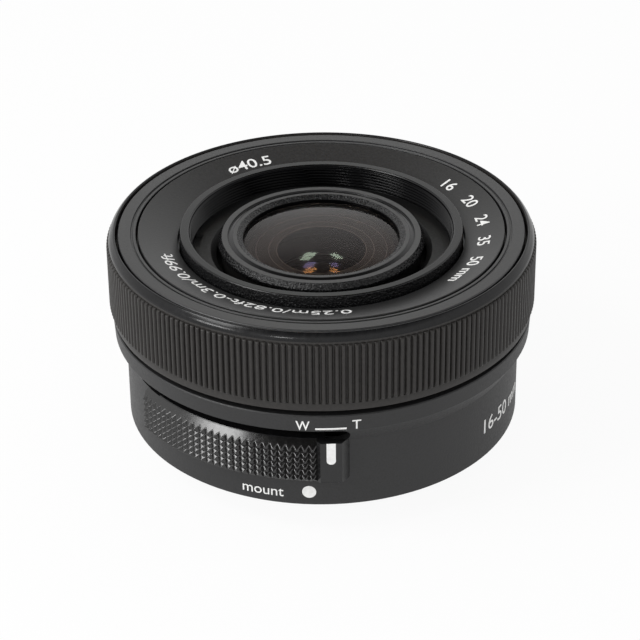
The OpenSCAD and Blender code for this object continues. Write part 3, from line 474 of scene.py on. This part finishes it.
# %% Soft outlines, carried round
def soften(outline, radius, steps=4, hold=1.4):
    """Rounds the corners of a closed (r, z) outline. From A, a distance d before the corner P, to B, d after
    it, runs the parabola (1 - t)^2 A + 2 t (1 - t) P + t^2 B; d is the radius, or a third of the shorter
    side. The holding points lie hold times d from the corner."""
    p = np.asarray(outline, float)
    sides = np.stack([np.roll(p, 1, axis=0) - p, np.roll(p, -1, axis=0) - p])
    lengths = np.linalg.norm(sides, axis=2)
    d = np.minimum(radius, lengths.min(axis=0) / 3)
    a, b = p + sides * (d / lengths)[:, :, None]
    hold_a, hold_b = p + sides * (hold * d / lengths)[:, :, None]
    t = np.linspace(0, 1, steps + 1)[None, :, None]
    arc = (1 - t) ** 2 * a[:, None] + 2 * t * (1 - t) * p[:, None] + t ** 2 * b[:, None]
    return np.concatenate([hold_a[:, None], arc, hold_b[:, None]], axis=1).reshape(-1, 2)


def all_round(columns):
    """Even angles once round the axis, in radians."""
    return np.arange(columns) * 2 * np.pi / columns


def turned(r, z, angles):
    """Carries an outline round the axis: (r cos a, r sin a, z) for each column's angle a. r and z are given
    for the rows, or for columns by rows."""
    a = np.reshape(angles, (-1, 1))
    shape = (len(a), np.shape(z)[-1])
    r, z = np.broadcast_to(r, shape), np.broadcast_to(z, shape)
    return np.stack([r * np.cos(a), r * np.sin(a), z], axis=-1)


print("a square with soft corners:", len(soften([(1, 0), (2, 0), (2, 1), (1, 1)], 0.1)), "points")

# %% [markdown]
# ## From a grid to a piece
# A grid of points becomes a mesh when each point is joined to its neighbours. A curve with a bevel would do it
# for the rings alone; joining by number works for every grid in this lesson. Where points fall together, as at
# the crown of a lens, they are merged, and edges sharper than an angle stay sharp in the shading.

# %% Grids as meshes
merge_distance, sliver = 1e-7, 1e-8  # in metres


def mesh_object(name, mesh, material, sharp_deg=40):
    """Merges points that fall together, smooths the mesh up to an angle and puts it into the scene."""
    sewn = bmesh.new()
    sewn.from_mesh(mesh)
    bmesh.ops.remove_doubles(sewn, verts=sewn.verts, dist=merge_distance)
    bmesh.ops.dissolve_degenerate(sewn, edges=sewn.edges, dist=sliver)
    sewn.to_mesh(mesh)
    sewn.free()
    mesh.polygons.foreach_set("use_smooth", np.ones(len(mesh.polygons), bool))
    mesh.set_sharp_from_angle(angle=np.radians(sharp_deg))
    mesh.materials.clear()
    mesh.materials.append(material)
    return placed(name, mesh)


def grid_piece(name, points, material, closed_rows=True):
    """A piece from a grid of points in mm: quads join each point to the next column, which wraps round, and
    to the next row, which wraps if closed_rows. Points that fall together, as at a pole, are merged."""
    columns, rows = points.shape[:2]
    number = np.arange(columns * rows).reshape(columns, rows)
    if closed_rows:
        number = np.hstack([number, number[:, :1]])
    beside = np.roll(number, -1, axis=0)
    faces = np.stack([number[:, :-1], beside[:, :-1], beside[:, 1:], number[:, 1:]], axis=-1)
    mesh = bpy.data.meshes.new(name)
    mesh.from_pydata(points.reshape(-1, 3) * mm, [], faces.reshape(-1, 4).tolist())
    return mesh_object(name, mesh, material)


print("points closer than", merge_distance * per_metre, "mm are merged")

# %% [markdown]
# ## Second finishes and seats
# Where one ring has two finishes, its faces are told apart by where they lie and which way they look, which
# needs no list of faces. Each piece then rides on the CAD body that it moves with and hides the plain node that
# it stands for.

# %% Second finishes and seats
def coat_where(piece, material, test):
    """Gives another finish to the faces for which test(r, z, up) is true: the distance of a face's middle
    from the axis and its height, in mm, and how far its normal points up."""
    faces = piece.data.polygons
    middles, normals = np.empty((2, len(faces) * 3))
    faces.foreach_get("center", middles)
    faces.foreach_get("normal", normals)
    x, y, z = middles.reshape(-1, 3).T * per_metre
    chosen = test(np.hypot(x, y), z, normals[2::3])
    index = np.empty(len(faces), np.int32)
    faces.foreach_get("material_index", index)
    index[chosen] = len(piece.data.materials)
    piece.data.materials.append(material)
    faces.foreach_set("material_index", index)
    print(piece.name, "has", material.name, "on", int(chosen.sum()), "faces")


def seat(piece, body, slot, *nodes):
    """Puts a piece on the body it moves with and hides the nodes that it stands for; the slot is not used."""
    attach(piece, body)
    if nodes:
        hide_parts(*nodes)
    print(piece.name, len(piece.data.polygons), "faces on", body)
    return piece


# %% [markdown]
# ## Trim ring and name ring
# The trim ring frames the front and keeps the ribbed ring on its sleeve. The dished name ring lies inside it, a
# shade lower, with a fine gap between them. Both are plain turned outlines in the CAD model's own sizes, given
# from the level of the front face.

# %% Trim ring and name ring
face_z, face_columns = 31.2, 256
trim_outline = np.array([
    (31.2, -1.9), (31.2, -0.15), (31.05, 0), (29.25, 0), (29.25, -0.3), (28.9, -0.3), (28.9, -0.06),
    (28.45, -0.06), (28.45, -2), (26.6, -2), (26.6, -2.8), (28.85, -2.8), (28.85, -1.9)]) + [0, face_z]
trim_points = turned(*soften(trim_outline, radius=0.12).T, all_round(face_columns))
seat(grid_piece("trim_ring_turned", trim_points, finishes["face_alloy"]), "housing", "face_alloy",
     "front_trim_ring")

name_r, name_ri, outer_edge, inner_edge, dish_share = 28.1, 22.05, 0.1, 0.08, 0.285
dish = (name_r - name_ri) * dish_share
cone_r, cone_ri = name_r - outer_edge, name_ri + inner_edge
name_outline = np.array([
    (name_r, -outer_edge), (cone_r, 0), (cone_ri, -dish), (name_ri, -dish - inner_edge), (name_ri, -dish - 0.55),
    (name_r - 1, -0.95), (name_r - 1, -2), (name_r, -2)]) + [0, face_z]
name_points = turned(*soften(name_outline, radius=0.06).T, all_round(face_columns))
seat(grid_piece("name_ring_turned", name_points, finishes["name_alloy"]), "housing", "face_alloy", "name_ring")

# %% [markdown]
# ## Ribbed control ring
# The ring has 214 upright ribs with flat crests, bevelled flanks and narrow grooves, and they stand out beyond
# the smooth lips above and below. An array of single ribs would leave a seam at each; here every rib is the
# same short curve, so the ring is one closed grid: ten columns to a rib, and rows that climb the outside, cross
# the bevelled lip and come back down the bore. A point's radius is the smaller of what its column and its row
# allow, which rounds the ribs off at both ends.

# %% Control ring
rib_count, ring_r, lip_r, groove_r = 214, 33, 32.65, 32.5
half_rib = np.array([0, 0.14, 0.23, 0.37, 0.42, 0.5])  # from the crest to the groove, in ribs
half_r = np.array([ring_r, ring_r, 32.93, 32.7, 32.52, groove_r])
rib_place = np.concatenate([-half_rib[:0:-1], half_rib[:-1]])
rib_r = np.concatenate([half_r[:0:-1], half_r[:-1]])

rib_low, rib_high, rib_rise, end_rows = 19.72, 29.38, 0.3, 7
end = np.linspace(0, 1, end_rows)
end_r = groove_r + (ring_r - groove_r) * np.sqrt(1 - (1 - end) ** 2)
foot = [(30.35, 18.5), (30.45, 18.4), (32.45, 18.4), (32.56, 18.43), (32.62, 18.49), (lip_r, 18.6),
        (lip_r, 19.6), (32.63, 19.67)]
crest = [(ring_r, 20.2), (ring_r, 29.2)]
lip = [(32.63, 29.73), (lip_r, 29.8), (lip_r, 30.1), (32.63, 30.25), (32.56, 30.46), (32.4, 30.74),
       (32.2, 30.98), (32.03, 31.17), (31.95, 31.25), (31.88, 31.29), (31.8, 31.3), (31.7, 31.28),
       (31.63, 31.23), (31.6, 31.14)]
bore = [(31.6, 30.9), (31.6, 29), (30.35, 29), (30.35, 24.7), (30.7, 24.7), (30.7, 20.3), (30.35, 20.3)]
row_r, row_z = np.concatenate([
    foot, np.column_stack([end_r, rib_low + rib_rise * end]), crest,
    np.column_stack([end_r[::-1], rib_high + rib_rise * end]), lip, bore]).T

angle = (np.arange(rib_count)[:, None] + rib_place) * 2 * np.pi / rib_count
ribbed = (row_z > foot[-1][1]) & (row_z < lip[0][1]) & (row_r >= groove_r)
ring_rows = np.where(ribbed, np.minimum(row_r, np.tile(rib_r, rib_count)[:, None]), row_r)
ring = grid_piece("control_ring_ribbed", turned(ring_rows, row_z, angle), finishes["ring_black"])
gloss_start, gloss_up = 29.95, 0.1
coat_where(ring, finishes["lip_gloss"], lambda r, z, up: (z > gloss_start) & (up > gloss_up))
seat(ring, "control_ring", "ring_black", "control_ring")

# %% [markdown]
# ## Front barrel and filter thread
# The rim of the barrel is cut with a fine screw thread, 0.5 mm from turn to turn, for filters and hoods. A swept
# helix would have to be cut from the barrel; in the barrel's own grid the thread is only a change of radius. Its
# crest climbs one pitch per turn, so the radius is a wave of height over pitch minus the share of the turn, with
# twelve rows to a pitch. The rest is the CAD outline with softened edges.

# %% Front barrel
pitch, crest_r, root_r = 0.5, 19.98, 20.25
thread_rows, thread_columns, thread_mouth, thread_fade = 80, 384, 31.0, 0.3
thread_top, thread_foot = 30.95, 27.65
rim_r, rim_edge_z, barrel_floor_z = 21.7, 31.1, 27
barrel_outline = soften([
    (20.5, 3.5), (20.5, 26.6), (rim_r, 26.6), (rim_r, rim_edge_z), (21.55, 31.25), (20.45, 31.25),
    (root_r, 31.05), (root_r, 27.6), (20, 27.6), (20, barrel_floor_z), (19.4, barrel_floor_z), (19.4, 23),
    (15.93, 23), (15.93, 22), (19.4, 22), (19.4, 3.5)], radius=0.08)
at_mouth = np.isclose(barrel_outline[:, 0], root_r) & (barrel_outline[:, 1] > thread_top - 1)
top = np.flatnonzero(at_mouth).max() + 1
thread_z = np.linspace(thread_top, thread_foot, thread_rows)
barrel_r, barrel_z = np.insert(
    barrel_outline, top, np.column_stack([np.full(thread_rows, root_r), thread_z]), axis=0).T
share = np.arange(thread_columns)[:, None] / thread_columns
wave = 0.5 + 0.5 * np.cos(2 * np.pi * (barrel_z / pitch - share))
fade = np.zeros(len(barrel_z))
fade[top:top + thread_rows] = np.clip((thread_mouth - thread_z) / thread_fade, 0, 1)
threaded_r = barrel_r - fade * wave * (root_r - crest_r)
barrel = grid_piece("front_barrel_threaded", turned(threaded_r, barrel_z, all_round(thread_columns)),
                    finishes["barrel_black"])
coat_where(barrel, finishes["coarse_alloy"], lambda r, z, up: (r > rim_r - 0.1) & (z < rim_edge_z + 0.02))
coat_where(barrel, finishes["thread_black"], lambda r, z, up: (r < root_r + 0.05) & (z > barrel_floor_z))
seat(barrel, "front_barrel", "barrel_black", "front_barrel")

# %% [markdown]
# ## Floor ring
# A dark ring closes the space between the thread and the lens ring. It falls away towards the lens ring in a
# cone, and a small notch at its outer edge takes the tool that turns it in. With a column to each degree, the
# notch is cut by lowering a few columns.

# %% Floor ring
notch_r, notch_z, notch_deg, notch_half_deg = 18.75, 27.1, 174, 5.5
floor_r, floor_ring_z = soften([(19.95, 27), (19.95, 27.6), (notch_r, 27.6), (17.1, 27.55), (16.2, 26.85),
                                (16.2, 26.6), (16.63, 27)], radius=0.06).T
degree = np.arange(360)[:, None]
notch = (np.abs(degree - notch_deg) < notch_half_deg) & (floor_r > notch_r) & (floor_ring_z > notch_z + 0.2)
floor_points = turned(floor_r, np.where(notch, notch_z, floor_ring_z), all_round(len(degree)))
seat(grid_piece("floor_ring_turned", floor_points, finishes["floor_black"]), "front_barrel",
     slot_of["barrel_floor_ring"], "barrel_floor_ring")

# %% [markdown]
# ## Lens ring
# The ring round the front glass steps down to it: a coarse, sloping outer wall, a flat lip, a dark sloping
# groove, a thin bright rim and a coarse cone to the glass. Below the cone the bore is painted near-black, a
# painted shade for the shadow inside it. One outline carries them all, and each zone gets its finish by its
# radius and its slope.

# %% Lens ring
bezel_outline = [(15.9, 28.55), (15.9, 28.95), (15.33, 29.85), (14.4, 29.85), (14.3, 29.6), (13.6, 29.8),
                 (13.5, 29.85), (12.95, 29.83), (12.05, 29.35), (12.05, 28.35), (15.33, 28.35), (15.7, 28.35)]
groove_middle, groove_half, groove_up = 14.0, 0.42, 0.3
flats_middle, flats_half, flats_up, bore_end = 14.1, 1, 0.985, 12.1
bezel = grid_piece("lens_ring_turned", turned(*soften(bezel_outline, radius=0.06).T, all_round(columns=192)),
                   finishes["face_alloy"])
coat_where(bezel, finishes["coarse_alloy"],
           lambda r, z, up: (up < flats_up) & (np.abs(r - flats_middle) > flats_half))
# The bore gets the near-black thread finish: painted shade for the shadow that falls inside it.
coat_where(bezel, finishes["thread_black"], lambda r, z, up: r < bore_end)
coat_where(bezel, finishes["barrel_black"],
           lambda r, z, up: (up > groove_up) & (np.abs(r - groove_middle) < groove_half))
seat(bezel, "front_barrel", "face_alloy", "lens_ring")

# %% [markdown]
# ## Glass
# A lens element is two spherical caps joined at the rim. The CAD caps are made of a few cones, which would show
# as rings in the reflections, so the ones that can be seen are drawn again with even steps of angle over each
# sphere.

# %% Glass elements
def cap(foot, z, sag, steps=28):
    """Points of a spherical cap from its crown on the axis to its foot: the ball's radius R is
    (foot^2 + sag^2) / 2 sag, and a point at angle u lies at (R sin u, z + sag - R (1 - cos u)). A negative sag
    is hollow."""
    ball = (foot ** 2 + sag ** 2) / (2 * abs(sag))
    u = np.linspace(0, np.arcsin(foot / ball), steps)
    return np.column_stack([ball * np.sin(u), z + sag - np.sign(sag) * ball * (1 - np.cos(u))])


def element(name, node_name, body, rear, edge, front):
    """A lens from its rear cap, the points of its edge and its front cap; a cap is its foot's radius and
    height, and its sag."""
    outline = np.concatenate([cap(*rear), edge, cap(*front)[::-1]])
    piece = grid_piece(name, turned(*outline.T, all_round(columns=96)), coatings[node_name], closed_rows=False)
    return seat(piece, body, "glass", node_name)


front_glass = element("front_glass", "front_element", "front_barrel", (11.9, 25.4, 1.09),
                      [(12.5, 25.4), (12.5, 28.2), (12.02, 28.25), (12.0, 28.75)], (11.98, 28.8, 1.0))
coat_where(front_glass, violet_coat, lambda r, z, up: up < 0)
element("second_glass", "second_element", "front_barrel", (10.4, 22.6, 0.9), [(11, 22.6), (11, 23.7)],
        (10.9, 23.75, 1.08))
element("rear_glass", "rear_element", "housing", (8.75, -3.5, 0.1), [(9.35, -3.5), (9.35, -2.05)],
        (9.3, -2, 0.9))

# %% [markdown]
# ## Baffle ring
# Between the first two elements lies a stepped ring that keeps stray light away from the iris. Its lacquer is
# brown-black; the upward faces at the edges of its steps are painted lighter, a painted highlight for the light
# those edges catch, and they show through the front glass as fine circles, one inside the other.

# %% Baffle ring
brown_lacquer = grained_finish(
    "brown_baffle_lacquer", 0.6, "#1f1a18", "#28211f", (0.45, 0.6), 0.002, IOR=1.4)
# The step edges get a lighter finish: a painted highlight, standing for the light those edges catch.
painted_edge_highlight = grained_finish("baffle_edge_painted_highlight", 0.6, "#524944", "#665d58", (0.35, 0.5), 0.002, IOR=1.5)
baffle_outline = [(11.6, 24.4), (11.6, 25.35), (9.9, 25.3), (9.8, 25.3), (9.8, 25.1), (7.95, 25.05),
                  (7.85, 25.05), (7.85, 24.9), (6.75, 24.85), (6.65, 24.85), (6.65, 24.6)]
step_edges, edge_half, edge_up = [9.85, 7.9, 6.7], 0.06, 0.5
baffle_points = turned(*soften(baffle_outline, radius=0.03).T, all_round(columns=192))
baffle = grid_piece("baffle_ring", baffle_points, brown_lacquer)
coat_where(baffle, painted_edge_highlight,
           lambda r, z, up: (up > edge_up) & (np.abs(r[:, None] - step_edges).min(axis=1) < edge_half))
seat(baffle, "front_barrel", "inner_black")

# %% [markdown]
# ## Printed marks
# A picture texture would blur close up, so the marks are meshes. Letters start as a flat outline from Blender's
# own font, given a film's thickness and made into a mesh, whose points can then be carried anywhere.

# %% Letters as flat meshes
capital_share = 0.729  # height of a capital in this font, as a share of its size
film, film_lift, curve_steps = 0.03, 0.02, 4


def letters(words, height_mm, weight_mm):
    """Points in mm and mesh of words set in one line, centred across, with the baseline at 0, capitals of a
    height and strokes made wider by a weight on each side."""
    curve = bpy.data.curves.new("letters", "FONT")
    curve.body = words
    curve.align_x = "CENTER"
    curve.size = height_mm / capital_share
    curve.extrude = film
    curve.offset = weight_mm
    curve.resolution_u = curve_steps
    carrier = placed("letters", curve)
    bpy.context.view_layer.update()
    mesh = bpy.data.meshes.new_from_object(carrier.evaluated_get(bpy.context.evaluated_depsgraph_get()))
    bpy.data.objects.remove(carrier)
    points = np.empty(len(mesh.vertices) * 3)
    mesh.vertices.foreach_get("co", points)
    return points.reshape(-1, 3), mesh


def print_on(name, points, mesh):
    """Puts the carried points, in mm, back into the letters' mesh and seats it as a printed mark."""
    mesh.vertices.foreach_set("co", (points * mm).ravel())
    mesh.name = name
    mesh.update()
    return seat(mesh_object(name, mesh, finishes["mark_white"], sharp_deg=30), "housing", "mark_white")


print("ink film:", film, "mm")

# %% [markdown]
# ## Letters onto a cone and a wall
# Every point of a word is carried to its place by a formula, where a Curve modifier would bend the letters only
# one way: across the letters becomes an angle, up the letters becomes a step out along the dished ring or up the
# wall, and the film stands off the surface by a hair.

# %% Letters onto a cone and a wall
slope = dish / (cone_r - cone_ri)


def mark_name_ring(name, words, height_mm, base_r, middle_deg, spacing, weight_mm):
    """Letters on the dished ring, tops outwards: angle = middle - x / radius, r = base + y cos(tilt), and z
    follows the cone; the film stands up along the axis."""
    points, mesh = letters(words, height_mm, weight_mm)
    r = base_r + points[:, 1] * np.cos(np.arctan(slope))
    a = np.radians(middle_deg) - points[:, 0] * spacing / (base_r + height_mm / 2)
    z = face_z - (cone_r - r) * slope + points[:, 2] + film_lift
    return print_on(name, np.column_stack([r * np.cos(a), r * np.sin(a), z]), mesh)


def mark_wall(name, words, height_mm, wall_r, middle_deg, base_z, flare=0.0, weight_mm=0.0, spacing=1.0):
    """Letters on an upright wall: angle = middle + x / radius from the front, z = base + y, and the radius
    grows by flare for each mm of height where the wall leans out."""
    points, mesh = letters(words, height_mm, weight_mm)
    a = np.radians(middle_deg) + points[:, 0] * spacing / wall_r
    r = wall_r + points[:, 2] + film_lift + flare * points[:, 1]
    return print_on(name, np.column_stack([r * np.sin(a), -r * np.cos(a), base_z + points[:, 1]]), mesh)


print("slope of the name ring:", round(slope, 3))

# %% [markdown]
# ## What is printed
# The name ring carries the filter size, the focal lengths and the near limits; the housing carries W and T for
# the lever, a word at the index dot and the focal range. The band under the ribbed ring leans out a little.

# %% The words and numbers
band_r, band_z, band_flare, housing_r = 32.35, 15.0, 0.06, 30.66
mark_name_ring("filter_size_mark", "ø40.5", 2.1, 24.3, 117.9, 1.22, 0.01)
mark_name_ring("focal_numbers", "16    20    24    35    50 mm", 2.1, 24.1, 0.5, 1.07, 0.015)
mark_name_ring("distance_numbers", "0.25m/0.82ft-0.3m/0.99ft", 2.15, 23.5, -121.5, 1.24, -0.01)
mark_wall("wide_mark", "W", 1.66, band_r, -4.72, band_z, band_flare, 0.02, 0.84)
mark_wall("tele_mark", "T", 1.66, band_r, 9.25, band_z, band_flare, 0.01)
mark_wall("mount_word", "mount", 1.8, housing_r, -16.8, 1.8)
mark_wall("focal_range", "16-50 mm", 2.6, housing_r, 66, 4.9)

# %% [markdown]
# ## Index bar and zoom line
# The lever carries a white bar that is set over its rounded top edge, flat above and round below, and a thin
# white line on the housing joins W and T. Both are shells: a grid of points on the outside, the same grid a
# little deeper as the inside, and the ends pinched shut.

# %% Index bar and zoom line
lever_r, stand_off, mark_columns = 32.3, 0.03, 7


def shell(name, degrees, r, z, material, slot, body, thickness=0.12):
    """A closed shell from columns by rows of angles: its outside lies at (r sin a, -r cos a, z), its inside a
    thickness deeper; the first and last row have no thickness, so the ends are shut."""
    a = np.radians(degrees)
    z, r = np.broadcast_to(z, a.shape), np.broadcast_to(r, a.shape)
    row = np.arange(a.shape[1])
    inside = r - np.where((row == 0) | (row == row[-1]), 0, thickness)
    a, z, r = np.concatenate([a, a[::-1]]), np.concatenate([z, z[::-1]]), np.concatenate([r, inside[::-1]])
    points = np.stack([r * np.sin(a), -r * np.cos(a), z], axis=-1)
    return seat(grid_piece(name, points, material, closed_rows=False), body, slot)


bar_deg, bar_half_deg, bar_round_z, bar_round, round_rows = 2.6, 1.2, 9.5, 0.6, 10
flat_z, bar_top, bar_edge, flat_rows = 9.8, 12.54, 12.5, 20
round_z = bar_round_z - bar_round * np.cos(np.linspace(0, np.pi / 2, round_rows))
round_half = np.sqrt(np.clip(1 - ((bar_round_z - round_z) / bar_round) ** 2, 0, 1))
bar_z = np.concatenate([round_z, np.linspace(flat_z, bar_top, flat_rows)])
bar_half = bar_half_deg * np.concatenate([round_half, np.ones(flat_rows)])
bar_r = lever_r - np.clip(bar_z - bar_edge, 0, None) + stand_off
shell("index_bar", np.linspace(bar_deg - bar_half, bar_deg + bar_half, mark_columns), bar_r, bar_z,
      finishes["mark_white"], "mark_white", "zoom_lever")

line_z = np.array([15.05, 15.06, 15.2, 15.34, 15.35])
line_start, line_end = np.full((2, len(line_z)), [[-1.47], [6.65]])
line_deg = np.linspace(line_start, line_end, mark_columns)
shell("zoom_line", line_deg, band_r + (line_z - band_z) * band_flare + stand_off, line_z,
      finishes["mark_white"], "mark_white", "housing")

# %% [markdown]
# ## Grip of the zoom lever
# The lever's grip is a field of small pyramids between two sets of V-grooves. In the mould their edges come out
# slightly round, and those rounded edges are what glints. A Bevel modifier on the CAD triangles would tear at
# the tips, so the grip is one shell laid a hair above the CAD lever's own pyramids: the depth at a point is the
# larger of the upright groove's and the level groove's, and where the two come near each other the edge between
# them is rounded. Above the field the shell follows the lever's bevelled top.

# %% Grip of the zoom lever
def groove(place, depth, flat):
    """Depth of V-grooves 1 apart: full in a groove's middle, falling evenly to 0 at the flat tips between."""
    off = np.abs(place - np.round(place))
    return depth * np.clip(1 - off / ((1 - flat) / 2), 0, None)


def rounded_larger(a, b, width):
    """The larger of two depths, plus (width - |a - b|)^2 / (4 width) where they differ by less than a width."""
    return np.maximum(a, b) + np.clip(width - np.abs(a - b), 0, None) ** 2 / (4 * width)


pyramids, cells, grip_start_deg, grip_end_deg, grip_foot, skin = 27, 10, -58, -1.2, 5.6, 0.035
pyramid_width, tip_flat, edge_round = 1.186, 0.1, 0.1  # a pyramid is 1 mm high
upright_depth, level_depth, field_end, bevel_start, grip_end = 0.6, 0.54, 5.5, 5.55, 6.95
across = np.linspace(0, pyramids, pyramids * cells + 1)
grip_deg = np.interp(across, [0, pyramids], [grip_start_deg, grip_end_deg])
up = np.arange(0, grip_end, 1 / cells)
upright = groove(across, upright_depth, tip_flat / pyramid_width)
level = np.where(up < field_end, groove(up, level_depth, tip_flat), np.clip(up - bevel_start, 0, None))
grip_depth = rounded_larger(upright[:, None], level, edge_round)
shell("lever_grip", np.repeat(grip_deg[:, None], len(up), axis=1), lever_r + skin - grip_depth, grip_foot + up,
      finishes["grip_gloss"], slot_of["zoom_lever"], "zoom_lever")
